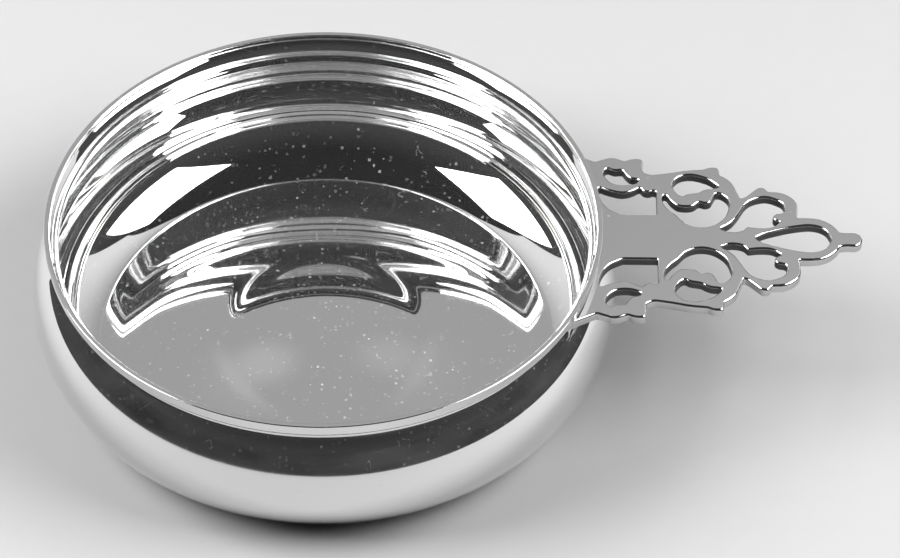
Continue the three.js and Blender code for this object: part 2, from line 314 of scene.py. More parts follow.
def wall_section(s, depth, lip_face, neck_turn):
    """Radius and height along the wall from base to lip, set in from the outside by the depth: edge of the
    floor, crease, lower turn, shoulder, neck and flare, six arcs that are tangent to each other. Shoulder
    and flare get what the turn at the neck leaves of their two bends."""
    belly = s.belly_radius - depth
    neck = s.mouth_radius - s.neck_inset - depth
    lip = s.mouth_radius - s.lip_thickening - depth
    neck_z = s.height - s.neck_depth
    (edge, edge_turn), (crease, crease_turn), lower = foot_arcs(s)
    down = -math.pi / 2
    shoulder_turn, shoulder_sum = double_bend(belly - neck, neck_z - lower[1])
    flare_turn, flare_sum = lip_flare(s, lip_face)
    shoulder = shoulder_sum - neck_turn
    flare = flare_sum - neck_turn
    return chain(
        arc(edge, s.edge_radius - depth, down, down + edge_turn, s.spacing),
        arc(crease, s.crease_radius - depth, down + edge_turn, down + crease_turn, s.spacing / 4),
        arc(lower, s.lower_radius - depth, down + crease_turn, 0, s.spacing),
        arc((belly - shoulder, lower[1]), shoulder, 0, shoulder_turn, s.spacing),
        arc((neck + neck_turn, neck_z), neck_turn, math.pi + shoulder_turn, math.pi - flare_turn,
            s.spacing / 2),
        arc((lip - flare, s.height - lip_face), flare, -flare_turn, 0, s.spacing / 4),
    )


def outer_wall(s):
    """The outside of the wall, from base to lip."""
    return wall_section(s, 0, s.lip_face, s.neck_fillet)


def inner_wall(s):
    """The inside of the wall, from base to lip. The turn at its neck is what its tight flare leaves."""
    neck_turn = lip_flare(s, s.inner_lip_face)[1] - s.inner_flare
    return wall_section(s, s.wall, s.inner_lip_face, neck_turn)


def upper_outside(s):
    """The outside of the wall over the upper half of the bowl, where the handle joins it."""
    outside = outer_wall(s)
    return outside[outside[:, 1] > s.height / 2]


def radius_at(height, outside):
    """Radius of the outside of the wall at a height."""
    return np.interp(height, outside[:, 1], outside[:, 0])


def floor_section(s, thickness):
    """Radius and height of the floor from its middle to the base: a dome, its hollow foot and a shallow
    dish, three parabolas whose slopes run on from each other, and the flat standing ring."""
    base = s.belly_radius - s.lower_radius
    ring = base - s.standing_width
    dome = s.boss_radius - s.boss_foot
    dome_slope = 2 * s.dome_rise / dome
    dish_slope = 2 * s.dish_rise / (ring - s.boss_radius)
    dome_foot = s.dish_rise + (dome_slope + dish_slope) * s.boss_foot / 2
    r = np.concatenate([
        np.linspace(0, dome, math.ceil(dome / s.spacing)),
        np.linspace(dome, s.boss_radius, math.ceil(s.boss_foot / s.spacing))[1:],
        np.linspace(s.boss_radius, ring, math.ceil((ring - s.boss_radius) / s.spacing))[1:],
        np.linspace(ring, base, STANDING_POINTS)[1:],
    ])
    on_dome = dome_foot + s.dome_rise * (1 - (r / dome) ** 2)
    out = s.boss_radius - r
    on_foot = s.dish_rise + dish_slope * out + (dome_slope - dish_slope) * out ** 2 / (2 * s.boss_foot)
    on_dish = s.dish_rise * (np.maximum(ring - r, 0) / (ring - s.boss_radius)) ** 2
    z = np.select([r <= dome, r <= s.boss_radius], [on_dome, on_foot], on_dish)
    return np.stack([r, z + thickness], axis=1)


def lip_section(s):
    """The lip from its outer face over two rounded edges to its inner face."""
    outer, inner = s.mouth_radius, s.mouth_radius - s.lip_thickening - s.wall
    top = s.height - s.lip_edge
    return chain(
        arc((outer - s.lip_edge, top), s.lip_edge, 0, math.pi / 2, s.lip_edge / 4),
        arc((inner + s.lip_edge, top), s.lip_edge, math.pi / 2, math.pi, s.lip_edge / 4),
    )


def bowl_section(s):
    """The whole closed section, from the middle of the underside round the lip to that of the floor."""
    outside, lip, inside = outer_wall(s), lip_section(s), inner_wall(s)[::-1]
    return chain(
        floor_section(s, 0),
        outside,
        line(outside[-1], lip[0], s.spacing / 2),
        lip,
        line(lip[-1], inside[0], s.spacing / 2),
        inside,
        floor_section(s, s.wall)[::-1],
    )


def revolve(section, centre_x, steps):
    """A section that starts and ends on the axis, turned round it: x = centre + r cos a, y = r sin a. Each
    end is one vertex, so both poles are closed."""
    angle = np.arange(steps) * 2 * math.pi / steps
    ring = section[1:-1]
    x = centre_x + ring[:, :1] * np.cos(angle)
    y = ring[:, :1] * np.sin(angle)
    z = np.broadcast_to(ring[:, 1:], x.shape)
    body = np.stack([x, y, z], axis=2).reshape(-1, 3)
    poles = np.array([[centre_x, 0, section[0, 1]], [centre_x, 0, section[-1, 1]]])
    vertices = np.concatenate([body, poles])
    index = np.arange(len(body)).reshape(len(ring), steps)
    ahead = np.roll(index, -1, axis=1)
    quads = np.stack([index[:-1], ahead[:-1], ahead[1:], index[1:]], axis=2).reshape(-1, 4)
    first, last = np.full(steps, len(body)), np.full(steps, len(body) + 1)
    fans = np.concatenate([
        np.stack([first, ahead[0], index[0]], axis=1),
        np.stack([last, index[-1], ahead[-1]], axis=1),
    ])
    return vertices, quads, fans


def underside_loops(cad_node):
    """The closed outlines of a CAD plate's flat underside, each run with the metal on its right. An edge
    that only one triangle of the underside has is on an outline. Each point's place in its loop comes from
    list ranking: how many steps it is from the loop's lowest-numbered point, by doubling jumps."""
    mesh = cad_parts[cad_node].data
    place = np.empty(len(mesh.vertices) * 3)
    corner = np.empty(len(mesh.loops), int)
    mesh.vertices.foreach_get("co", place)
    mesh.loops.foreach_get("vertex_index", corner)
    place, same = np.unique(np.round(place.reshape(-1, 3), SAME_DIGITS), axis=0, return_inverse=True)
    triangle = same.reshape(-1)[corner].reshape(-1, 3)
    flat = np.all(place[triangle][:, :, 2] < place[:, 2].min() + FLAT_WITHIN, axis=1)
    edge = np.concatenate([triangle[flat][:, pair] for pair in ([0, 1], [1, 2], [2, 0])])
    lone = ~np.isin(edge[:, 0] * len(place) + edge[:, 1], edge[:, 1] * len(place) + edge[:, 0])
    edge = edge[lone][np.argsort(edge[lone][:, 0])]
    point = np.arange(len(edge))
    follower = np.searchsorted(edge[:, 0], edge[:, 1])
    rounds = len(edge).bit_length()
    first, jump = point, follower
    for _ in range(rounds):
        first, jump = np.minimum(first, first[jump]), jump[jump]
    ends = first == point
    steps, jump = np.where(ends, 0, 1), np.where(ends, point, follower)
    for _ in range(rounds):
        steps, jump = steps + steps[jump], jump[jump]
    order = np.lexsort((-steps, first))
    breaks = np.flatnonzero(np.diff(first[order])) + 1
    return np.split(place[edge[order, 0], :2], breaks)


def soften(loop, spacing, blur):
    """A closed outline at equal steps, low-passed along its length: each Fourier term is multiplied by
    exp(-(2 pi k blur / length)^2 / 2), which rounds the corners and takes the facets out."""
    closed = np.concatenate([loop, loop[:1]])
    along = np.append(0, np.cumsum(np.linalg.norm(np.diff(closed, axis=0), axis=1)))
    count = max(FEWEST_POINTS, round(along[-1] / spacing))
    at = np.arange(count) / count * along[-1]
    signal = np.interp(at, along, closed[:, 0]) + 1j * np.interp(at, along, closed[:, 1])
    wave = np.fft.fftfreq(count, 1 / count)
    kept = np.exp(-0.5 * (2 * math.pi * wave * blur / along[-1]) ** 2)
    signal = np.fft.ifft(np.fft.fft(signal) * kept)
    return np.stack([signal.real, signal.imag], axis=1)


def inset_path(loop, sizes, inset):
    """A softened outline moved into the metal by the inset. The further in, the wider the softening,
    sqrt(blur^2 + (spread inset)^2), as on corners worn by polishing, so the path doesn't fold on itself."""
    path = soften(loop, sizes.spacing, math.hypot(sizes.blur, WORN_SPREAD * inset))
    ahead = np.roll(path, -1, axis=0) - np.roll(path, 1, axis=0)
    ahead /= np.linalg.norm(ahead, axis=1)[:, None]
    return path + inset * np.stack([ahead[:, 1], -ahead[:, 0]], axis=1)


def edge_rows(low, high, rounding):
    """Inset and height of the rows up the edge of a plate: a flat rim inside each rounding, and a quarter
    circle at the bottom and at the top."""
    turn = np.linspace(0, math.pi / 2, EDGE_STEPS)
    inset = rounding * (1 - np.cos(turn))
    rise = rounding * (1 - np.sin(turn))
    rim = RIM_SHARE * rounding
    insets = np.concatenate([[rim], inset[::-1], inset, [rim]])
    heights = np.concatenate([[low], low + rise[::-1], high - rise, [high]])
    return insets, heights


def seat_run(path, limit):
    """Which points of an outline lie on the seat: those within the limit of the bowl's axis where the
    outline, with the metal on its right, runs anticlockwise about that axis."""
    x, y = path[..., 0] - AXIS_X, path[..., 1]
    ahead = np.roll(path, -1, axis=-2) - np.roll(path, 1, axis=-2)
    return (np.hypot(x, y) < limit) & (x * ahead[..., 1] > y * ahead[..., 0])


def horn_share(path, on_seat, run_out):
    """Share of the rounding at each point of an outline. It runs out towards the two ends of the seat,
    where the horns of the handle taper to nothing."""
    if not on_seat.any():
        return np.ones(len(path))
    seat = path[on_seat]
    ends = seat[[np.argmin(seat[:, 1]), np.argmax(seat[:, 1])]]
    away = np.linalg.norm(path[:, None] - ends, axis=2).min(axis=1)
    return np.clip(away / run_out, LEAST_ROUNDING, 1)


def seated(points, insets, on_seat, outside, sizes):
    """Moves the plate's inner edge into the neck of the bowl: a point of the seat goes to the bowl's outer
    radius at its height, less the sink and plus its own inset, and every other point stays further out."""
    x, y = points[..., 0] - AXIS_X, points[..., 1]
    radius = np.hypot(x, y)
    seat = radius_at(points[..., 2], outside) - sizes.seat_sink + insets
    target = np.where(on_seat, seat, np.maximum(radius, seat + SEAT_MARGIN))
    return np.stack([AXIS_X + x * target / radius, y * target / radius, points[..., 2]], axis=-1)


def plate_band(loop, insets, heights, outside, sizes):
    """Rows of points up the edge of the plate along one outline: the softened outline, moved in by each
    row's inset times the share of the rounding at each point, at the row's height, and seated."""
    seat_limit = radius_at(HANDLE_LOW.z, outside) + sizes.clearance + SEAT_REACH
    path = soften(loop, sizes.spacing, sizes.blur)
    share = horn_share(path, seat_run(path, seat_limit), sizes.run_out)
    flat = np.stack([inset_path(loop, sizes, inset) for inset in insets])
    flat = path + share[:, None] * (flat - path)
    upright = np.broadcast_to(heights[:, None, None], (*flat.shape[:2], 1))
    reach = insets[:, None] * share
    on_seat = seat_run(flat, seat_limit + reach)
    return seated(np.concatenate([flat, upright], axis=2), reach, on_seat, outside, sizes)


def band_faces(rows, count, start):
    """Quads of a closed band of rows by count vertices, turned away from the metal on the loop's right."""
    index = start + np.arange(rows * count).reshape(rows, count)
    ahead = np.roll(index, -1, axis=1)
    return np.stack([index[:-1], index[1:], ahead[1:], ahead[:-1]], axis=2).reshape(-1, 4)


def cap_faces(rings, starts, facing):
    """Triangles of a flat face between rings, turned to face up (1) or down (-1): the Delaunay triangles
    that lie in the outline and in no piercing. The outline runs clockwise, the piercings anticlockwise."""
    flat = np.concatenate(rings)[:, :2] / MM
    number = np.concatenate([start + np.arange(len(ring)) for ring, start in zip(rings, starts)])
    places = np.split(np.arange(len(flat)), np.cumsum([len(ring) for ring in rings])[:-1])
    outline = np.argmax([np.ptp(ring[:, 0]) for ring in rings])
    polygons = [place[::-1 if k == outline else 1].tolist() for k, place in enumerate(places)]
    points = [Vector(point) for point in flat.tolist()]
    found = delaunay_2d_cdt(points, [], polygons, TRIANGLES_INSIDE, MERGE_WITHIN)
    triangles, polygons_round = found[2], found[5]
    metal = [len(around) == 1 for around in polygons_round]
    return number[np.array(triangles)[metal][:, ::facing]]


def solder_seam(sizes, outside):
    """A hollow fillet carried round the neck. Along its length the leg and the drop swell from the two ends
    and waver by three sines. Across it, a quadratic curve runs from the handle's underside to the shoulder,
    and the section closes inside the two pieces that it joins."""
    reach = math.asin(min(1, SEAM_HIGH.y / math.hypot(SEAM_HIGH.y, SEAM_LOW.x - AXIS_X)))
    along = np.linspace(-1, 1, SEAM_STEPS)[:, None]
    swell = np.sqrt(np.clip(1 - along ** SEAM_TAPER, SEAM_END, 1))
    waves = sum(size * np.sin(turns * along + phase) for size, turns, phase in SEAM_WAVES)
    waver = waves * sizes.ripple / 2
    leg = (sizes.leg + waver) * swell
    drop = (sizes.drop + waver[::-1]) * swell
    t = np.linspace(0, 1, CURVE_STEPS)[None]
    first, middle, last = (1 - t) ** 2, 2 * t * (1 - t), t ** 2
    under = HANDLE_LOW.z
    corner_r, toe_z = radius_at(under, outside), under - drop
    toe_r = radius_at(toe_z, outside)
    curve_r = first * (corner_r + leg) + middle * (corner_r + SEAM_HOLLOW * leg) + last * toe_r
    curve_z = first * under + middle * (under - SEAM_HOLLOW * drop) + last * toe_z
    inner_r = np.full_like(leg, corner_r - SEAM_BURIED)
    inner_z = np.full_like(leg, under + SEAM_BURIED)
    radius = np.concatenate([curve_r, toe_r - SEAM_BURIED, inner_r, corner_r + leg], axis=1)
    z = np.concatenate([curve_z, toe_z, inner_z, inner_z], axis=1)
    angle = along * reach
    grid = np.stack([AXIS_X + radius * np.cos(angle), radius * np.sin(angle), z], axis=2)
    rows, count = radius.shape
    index = np.arange(rows * count).reshape(rows, count)
    ahead = np.roll(index, -1, axis=1)
    quads = np.stack([index[:-1], ahead[:-1], ahead[1:], index[1:]], axis=2).reshape(-1, 4)
    ends = np.stack([index[0][::-1], index[-1]])
    return grid.reshape(-1, 3), quads, ends


def direction(azimuth, elevation):
    """Unit vector at an azimuth in degrees, clockwise from +Y seen from above, and an elevation."""
    a, e = np.radians(azimuth), np.radians(elevation)
    return np.stack(np.broadcast_arrays(np.sin(a) * np.cos(e), np.cos(a) * np.cos(e), np.sin(e)), axis=-1)


def sheet_grid(points):
    """Vertices and quads of an open grid of points."""
    rows, columns = points.shape[:2]
    index = np.arange(rows * columns).reshape(rows, columns)
    corners = [index[:-1, :-1], index[:-1, 1:], index[1:, 1:], index[1:, :-1]]
    return points.reshape(-1, 3), np.stack(corners, axis=2).reshape(-1, 4)


def new_object(name, vertices, *face_sets):
    """An object at the origin with smooth faces, from arrays of vertices and of faces."""
    mesh = bpy.data.meshes.new(name)
    faces = [face for face_set in face_sets for face in face_set.tolist()]
    mesh.from_pydata(vertices.tolist(), [], faces)
    mesh.shade_smooth()
    mesh.update()
    made = bpy.data.objects.new(name, mesh)
    bpy.context.scene.collection.objects.link(made)
    return made


def add_tarnish_and_painted_shade(made, values):
    """Writes down at each vertex of a piece how much of the tarnished colour it takes: tarnished walls, and
    painted shade.
    """
    made.data.attributes.new("tarnish_and_painted_shade", "FLOAT", "POINT").data.foreach_set("value", values)


def finish_piece(made, material, cad_node):
    """Gives a piece its material and its place in the frame."""
    made.data.materials.append(material)
    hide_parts(cad_node)
    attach(made, "root")


def node(tree, kind, inputs=None, **settings):
    """Adds a node, sets its properties, and sets or links its inputs."""
    made = tree.nodes.new(kind)
    for name, value in settings.items():
        setattr(made, name, value)
    for name, value in (inputs or {}).items():
        if isinstance(value, bpy.types.NodeSocket):
            tree.links.new(value, made.inputs[name])
        else:
            made.inputs[name].default_value = value
    return made


def new_material(name):
    """A material with an empty node tree, that tree, and the place on the object that its patterns read."""
    material = bpy.data.materials.new(name)
    material.use_nodes = True
    tree = material.node_tree
    tree.nodes.clear()
    return material, tree, node(tree, "ShaderNodeTexCoord").outputs["Object"]


def specks_of_handling(tree, centred, specks):
    """Specks and pits of handling, drawn up to 0.9 mm across so that they show, most of them faint."""
    cell = node(tree, "ShaderNodeTexVoronoi", {"Vector": centred, "Scale": 1 / SPECK_PITCH}).outputs
    chance = node(tree, "ShaderNodeSeparateColor", {0: cell["Color"]}).outputs
    reach = node(tree, "ShaderNodeMapRange", {
        "Value": chance[0], "From Min": 1 - specks, "To Max": SPECK_REACH}).outputs[0]
    inside = node(tree, "ShaderNodeMath", {0: reach, 1: cell["Distance"]}, operation="SUBTRACT").outputs[0]
    mark = node(tree, "ShaderNodeMapRange", {"Value": inside, "From Max": SPECK_EDGE}).outputs[0]
    depth = node(tree, "ShaderNodeMath", {0: chance[1], 1: SPECK_RARITY}, operation="POWER").outputs[0]
    strength = node(tree, "ShaderNodeMapRange", {
        "Value": depth, "To Min": SPECK_FAINTEST, "To Max": SPECK_STRONGEST}).outputs[0]
    return node(tree, "ShaderNodeMath", {0: mark, 1: strength}, operation="MULTIPLY").outputs[0]


def curled_scratches(tree, centred, specks):
    """Curled scratches, about 2 mm across, drawn 0.3 mm wide: bent rings that show for part of a turn."""
    broken = node(tree, "ShaderNodeTexNoise", {
        "Vector": centred, "Scale": 1 / CURL_BREAK, "Detail": 0.0}).outputs
    bent = node(tree, "ShaderNodeVectorMath", {0: broken["Color"], 1: (CURL_BEND,) * 3, 2: centred},
                operation="MULTIPLY_ADD").outputs[0]
    curl = node(tree, "ShaderNodeTexVoronoi", {"Vector": bent, "Scale": 1 / CURL_PITCH}).outputs
    pick = node(tree, "ShaderNodeSeparateColor", {0: curl["Color"]}).outputs[1]
    chosen = node(tree, "ShaderNodeMapRange", {"Value": pick, "From Min": 1 - specks}).outputs[0]
    off = node(tree, "ShaderNodeMath", {0: curl["Distance"], 1: CURL_RADIUS},
               operation="SUBTRACT").outputs[0]
    gap = node(tree, "ShaderNodeMath", {0: off}, operation="ABSOLUTE").outputs[0]
    trace = node(tree, "ShaderNodeMapRange", {
        "Value": gap, "From Min": CURL_WIDTH, "From Max": 0.0}).outputs[0]
    part = node(tree, "ShaderNodeMapRange", {
        "Value": broken[0], "From Min": CURL_FROM, "From Max": CURL_FULL,
        "To Max": CURL_STRONGEST}).outputs[0]
    for share in (chosen, part):
        trace = node(tree, "ShaderNodeMath", {0: trace, 1: share}, operation="MULTIPLY").outputs[0]
    return trace


def hairline_scratches(tree, centred, turn, seed):
    """Hairline scratches of use, about 8 mm long and drawn 0.15 mm wide so that they show."""
    spread = node(tree, "ShaderNodeMapping", {
        "Vector": centred, "Location": (seed, seed, 0), "Rotation": (0, 0, turn),
        "Scale": tuple(1 / size for size in HAIR_SPREAD)}).outputs[0]
    fibre = node(tree, "ShaderNodeTexNoise", {"Vector": spread, "Scale": 1.0, "Detail": 0.0}).outputs[0]
    return node(tree, "ShaderNodeMapRange", {
        "Value": fibre, "From Min": HAIR_FROM, "From Max": HAIR_FULL, "To Max": HAIR_STRONGEST}).outputs[0]


def wear_of_use(tree, centred, height, specks):
    """Strength of the marks of use: at each place, that of the strongest mark there."""
    speck = specks_of_handling(tree, centred, specks)
    curl = curled_scratches(tree, centred, specks)
    wear = node(tree, "ShaderNodeMath", {0: speck, 1: curl}, operation="MAXIMUM").outputs[0]
    # Spoons mark the floor more than anything marks the walls
    use = node(tree, "ShaderNodeMapRange", {
        "Value": height, "From Min": WORN_BELOW, "From Max": SPARED_ABOVE,
        "To Min": 1.0, "To Max": SPARED_SHARE}).outputs[0]
    wear = node(tree, "ShaderNodeMath", {0: wear, 1: use}, operation="MULTIPLY").outputs[0]
    for turn, seed in HAIR_TURNS_AND_SEEDS:
        hair = hairline_scratches(tree, centred, turn, seed)
        wear = node(tree, "ShaderNodeMath", {0: wear, 1: hair}, operation="MAXIMUM").outputs[0]
    return wear


def silver_material(name, base_colour, finish, specks, ring_height):
    """Silver: a metal with a nearly colourless, very high reflection, and the marks of making and use."""
    material, tree, place = new_material(name)
    centred = node(tree, "ShaderNodeMapping", {"Vector": place, "Location": (-AXIS_X, 0, 0)}).outputs[0]
    across = node(tree, "ShaderNodeVectorMath", {0: centred, 1: (1, 1, 0)}, operation="MULTIPLY").outputs[0]
    radius = node(tree, "ShaderNodeVectorMath", {0: across}, operation="LENGTH").outputs["Value"]
    height = node(tree, "ShaderNodeSeparateXYZ", {0: centred}).outputs["Z"]
    # Rings left by turning and burnishing, about 3 mm apart, that come and go round the bowl: they draw a
    # highlight out into streaks
    section = node(tree, "ShaderNodeCombineXYZ", {"X": radius, "Y": height}).outputs[0]
    drift = node(tree, "ShaderNodeVectorMath", {0: centred, 1: (RING_DRIFT,) * 3, 2: section},
                 operation="MULTIPLY_ADD").outputs[0]
    ring = node(tree, "ShaderNodeTexNoise", {
        "Vector": drift, "Scale": 1 / RING_PITCH, "Detail": 2.0}).outputs[0]
    # Shallow hollows from the planishing hammer, about 18 mm across: they bend long reflections a little
    hollow = node(tree, "ShaderNodeTexNoise", {
        "Vector": centred, "Scale": 1 / HAMMER_PITCH, "Detail": 1.0}).outputs[0]
    wave = node(tree, "ShaderNodeBump", {"Height": hollow, "Distance": finish.hollow_depth}).outputs[0]
    bump = node(tree, "ShaderNodeBump", {
        "Height": ring, "Distance": ring_height, "Normal": wave}).outputs[0]
    # A mark is a patch of scratches too fine to see, and its strength is the share of the patch that they
    # take: there the mirror turns dull
    wear = wear_of_use(tree, centred, height, specks)
    grain = node(tree, "ShaderNodeTexWhiteNoise", {"Vector": centred}).outputs["Value"]
    scratched = node(tree, "ShaderNodeMath", {0: wear, 1: grain}, operation="GREATER_THAN").outputs[0]
    rough = node(tree, "ShaderNodeMapRange", {
        "Value": scratched, "To Min": finish.polish, "To Max": SCRATCH_ROUGHNESS}).outputs[0]
    # Tarnished walls, and painted shade in the same colour, where a piece says so: dark and dull
    left = node(tree, "ShaderNodeAttribute", attribute_name="tarnish_and_painted_shade").outputs["Fac"]
    tone = node(tree, "ShaderNodeMix", {
        "Factor": left, "A": (*base_colour, 1), "B": (*finish.tarnish_and_painted_shade, 1)},
        data_type="RGBA").outputs["Result"]
    dull = node(tree, "ShaderNodeMapRange", {"Value": left, "To Max": TARNISH_ROUGHNESS}).outputs[0]
    rough = node(tree, "ShaderNodeMath", {0: rough, 1: dull}, operation="MAXIMUM").outputs[0]
    # The coat is the haze of countless fine polishing scratches: a faint broad gleam over the mirror
    surface = node(tree, "ShaderNodeBsdfPrincipled", {
        "Base Color": tone, "Metallic": 1.0, "Roughness": rough, "Normal": bump,
        "Coat Weight": finish.haze, "Coat Roughness": HAZE_ROUGHNESS}).outputs[0]
    node(tree, "ShaderNodeOutputMaterial", {"Surface": surface})
    return material


def solder_material(base_colour):
    """Hard silver solder left as it flowed: duller and greyer than polished silver, with fine ripples."""
    material, tree, place = new_material("hard_silver_solder_as_flowed")
    ripple = node(tree, "ShaderNodeTexNoise", {
        "Vector": place, "Scale": 1 / SOLDER_RIPPLE, "Detail": 3.0}).outputs[0]
    rough = node(tree, "ShaderNodeMapRange", {
        "Value": ripple, "To Min": SOLDER_SMOOTHEST, "To Max": SOLDER_ROUGHEST}).outputs[0]
    bump = node(tree, "ShaderNodeBump", {"Height": ripple, "Distance": SOLDER_RELIEF}).outputs[0]
    surface = node(tree, "ShaderNodeBsdfPrincipled", {
        "Base Color": (*base_colour, 1), "Metallic": 1.0, "Roughness": rough, "Normal": bump}).outputs[0]
    node(tree, "ShaderNodeOutputMaterial", {"Surface": surface})
    return material


def paper_material(paper):
    """Uncoated paper: matt and pale, with a faint mottle of its fibres, drawn about 6 mm across."""
    material, tree, place = new_material("pale_matt_paper")
    mottle = node(tree, "ShaderNodeTexNoise", {
        "Vector": place, "Scale": 1 / PAPER_MOTTLE, "Detail": 4.0}).outputs[0]
    shade = [PAPER_SHADE * part for part in paper]
    tone = node(tree, "ShaderNodeMix", {
        "Factor": mottle, "A": (*shade, 1), "B": (*paper, 1)}, data_type="RGBA").outputs["Result"]
    surface = node(tree, "ShaderNodeBsdfPrincipled", {
        "Base Color": tone, "Roughness": PAPER_ROUGHNESS, "Specular IOR Level": PAPER_GLOSS}).outputs[0]
    node(tree, "ShaderNodeOutputMaterial", {"Surface": surface})
    return material


def backdrop_material(studio, centre):
    """Paper in light: dimmer in its middle than beside the softboxes, with two soft spots of light."""
    material, tree, place = new_material("paper_backdrop_in_light")
    parts = node(tree, "ShaderNodeSeparateXYZ", {0: place}).outputs
    turn = node(tree, "ShaderNodeMath", {0: parts["X"], 1: parts["Y"]}, operation="ARCTAN2").outputs[0]
    side = node(tree, "ShaderNodeMath", {0: turn}, operation="ABSOLUTE").outputs[0]
    mix = node(tree, "ShaderNodeMapRange", {
        "Value": side, "From Min": math.radians(BACKDROP_DIM), "From Max": math.radians(BACKDROP_BRIGHT)},
        interpolation_type="SMOOTHSTEP").outputs[0]
    tone = node(tree, "ShaderNodeMix", {
        "Factor": mix, "A": (*studio.backdrop, 1), "B": (*studio.backdrop_side, 1)},
        data_type="RGBA").outputs["Result"]
    strength = 1.0
    for (spot_turn, spot_rise), gain in GLOW_SPOTS:
        spot = (centre + BACKDROP_RADIUS * direction(spot_turn, spot_rise)).tolist()
        apart = node(tree, "ShaderNodeVectorMath", {0: place, 1: spot},
                     operation="DISTANCE").outputs["Value"]
        lift = node(tree, "ShaderNodeMapRange", {
            "Value": apart, "From Min": GLOW_EDGE, "From Max": GLOW_CORE, "To Max": gain},
            interpolation_type="SMOOTHSTEP").outputs[0]
        strength = node(tree, "ShaderNodeMath", {0: strength, 1: lift}, operation="ADD").outputs[0]
    glow = node(tree, "ShaderNodeEmission", {"Color": tone, "Strength": strength}).outputs[0]
    node(tree, "ShaderNodeOutputMaterial", {"Surface": glow})
    return material


def flag_material(room):
    """Black card that gleams in broad uneven patches in the light of the room."""
    material, tree, place = new_material("black_card")
    patch = node(tree, "ShaderNodeTexNoise", {
        "Vector": place, "Scale": 1 / FLAG_PATCH, "Detail": 2.0}).outputs[0]
    gleam = node(tree, "ShaderNodeMapRange", {
        "Value": patch, "From Min": FLAG_PATCH_LOW, "From Max": FLAG_PATCH_HIGH,
        "To Min": FLAG_DULL, "To Max": FLAG_GLEAM}).outputs[0]
    glow = node(tree, "ShaderNodeEmission", {"Color": (*room, 1), "Strength": gleam}).outputs[0]
    node(tree, "ShaderNodeOutputMaterial", {"Surface": glow})
    return material


def paper_floor(studio):
    """A wide flat sheet of paper under the bowl."""
    sides = np.array([-FLOOR_REACH, FLOOR_REACH])
    x, y = np.meshgrid(sides, sides)
    floor = new_object("paper_floor", *sheet_grid(np.stack([x, y, np.zeros_like(x)], axis=2)))
    floor.data.materials.append(paper_material(studio.paper))
    return floor


def paper_backdrop(studio, centre):
    """A sheet of paper behind, on a sphere round the bowl. Its top edge dips towards the two sides."""
    turns = np.linspace(-BACKDROP_TURN, BACKDROP_TURN, BACKDROP_COLUMNS)
    around, share = np.meshgrid(turns, np.linspace(0, 1, BACKDROP_ROWS))
    dip = BACKDROP_DIP * np.abs(around / BACKDROP_DIP_TURN) ** BACKDROP_DIP_POWER
    above = BACKDROP_FOOT + share * (BACKDROP_HEIGHT - dip)
    sheet = sheet_grid(centre + BACKDROP_RADIUS * direction(around, above))
    backdrop = new_object("paper_backdrop", *sheet)
    backdrop.data.materials.append(backdrop_material(studio, centre))
    return backdrop


def black_flag(studio):
    """A low upright card on a circle round the front, which ends the paper's reflection in the belly."""
    turns = np.linspace(FLAG_FROM, FLAG_TO, FLAG_STEPS)
    around, above = np.meshgrid(turns, np.array([0.0, FLAG_HEIGHT]))
    ring = direction(around, 0 * around) * FLAG_RADIUS + np.array([AXIS_X, 0, 0])
    flag = new_object("black_flag", *sheet_grid(ring + above[..., None] * np.array([0, 0, 1])))
    flag.data.materials.append(flag_material(studio.room))
    return flag


def add_softboxes(scene, studio, centre):
    """Two soft rectangular lights at the sides, turned to the middle of the bowl."""
    for name, side, rise, roll, width, height, share in SOFTBOXES:
        lamp = bpy.data.lights.new(name, "AREA")
        lamp.shape = "RECTANGLE"
        lamp.size = width
        lamp.size_y = height
        lamp.energy = studio.softbox_power * share
        softbox = bpy.data.objects.new(name, lamp)
        away = Vector(direction(side, rise))
        level = away.to_track_quat("Z", "Y")
        softbox.location = Vector(centre) + SOFTBOX_DISTANCE * away
        softbox.rotation_mode = "QUATERNION"
        softbox.rotation_quaternion = level @ Quaternion((0, 0, 1), math.radians(roll))
        softbox.visible_camera = False
        scene.collection.objects.link(softbox)


def add_room(scene, studio):
    """The dark room round the stage, darker still overhead."""
    world = bpy.data.worlds.new("dark_room")
    world.use_nodes = True
    tree = world.node_tree
    place = node(tree, "ShaderNodeTexCoord").outputs["Generated"]
    upward = node(tree, "ShaderNodeSeparateXYZ", {0: place}).outputs["Z"]
    overhead = node(tree, "ShaderNodeMapRange", {
        "Value": upward, "From Min": CEILING_FROM, "From Max": CEILING_FULL}).outputs[0]
    tone = node(tree, "ShaderNodeMix", {
        "Factor": overhead, "A": (*studio.room, 1), "B": (*studio.ceiling, 1)},
        data_type="RGBA").outputs["Result"]
    tree.links.new(tone, tree.nodes["Background"].inputs["Color"])
    scene.world = world


def add_camera(scene, studio):
    """A camera above the front, with a long lens and a slight roll."""
    camera = bpy.data.objects.new("camera", bpy.data.cameras.new("camera"))
    place = Vector(CAMERA_PLACE)
    level = (Vector(CAMERA_AIM) - place).to_track_quat("-Z", "Y")
    camera.data.lens = studio.lens
    camera.location = place
    camera.rotation_mode = "QUATERNION"
    camera.rotation_quaternion = level @ Quaternion((0, 0, 1), math.radians(CAMERA_ROLL))
    scene.collection.objects.link(camera)
    scene.camera = camera


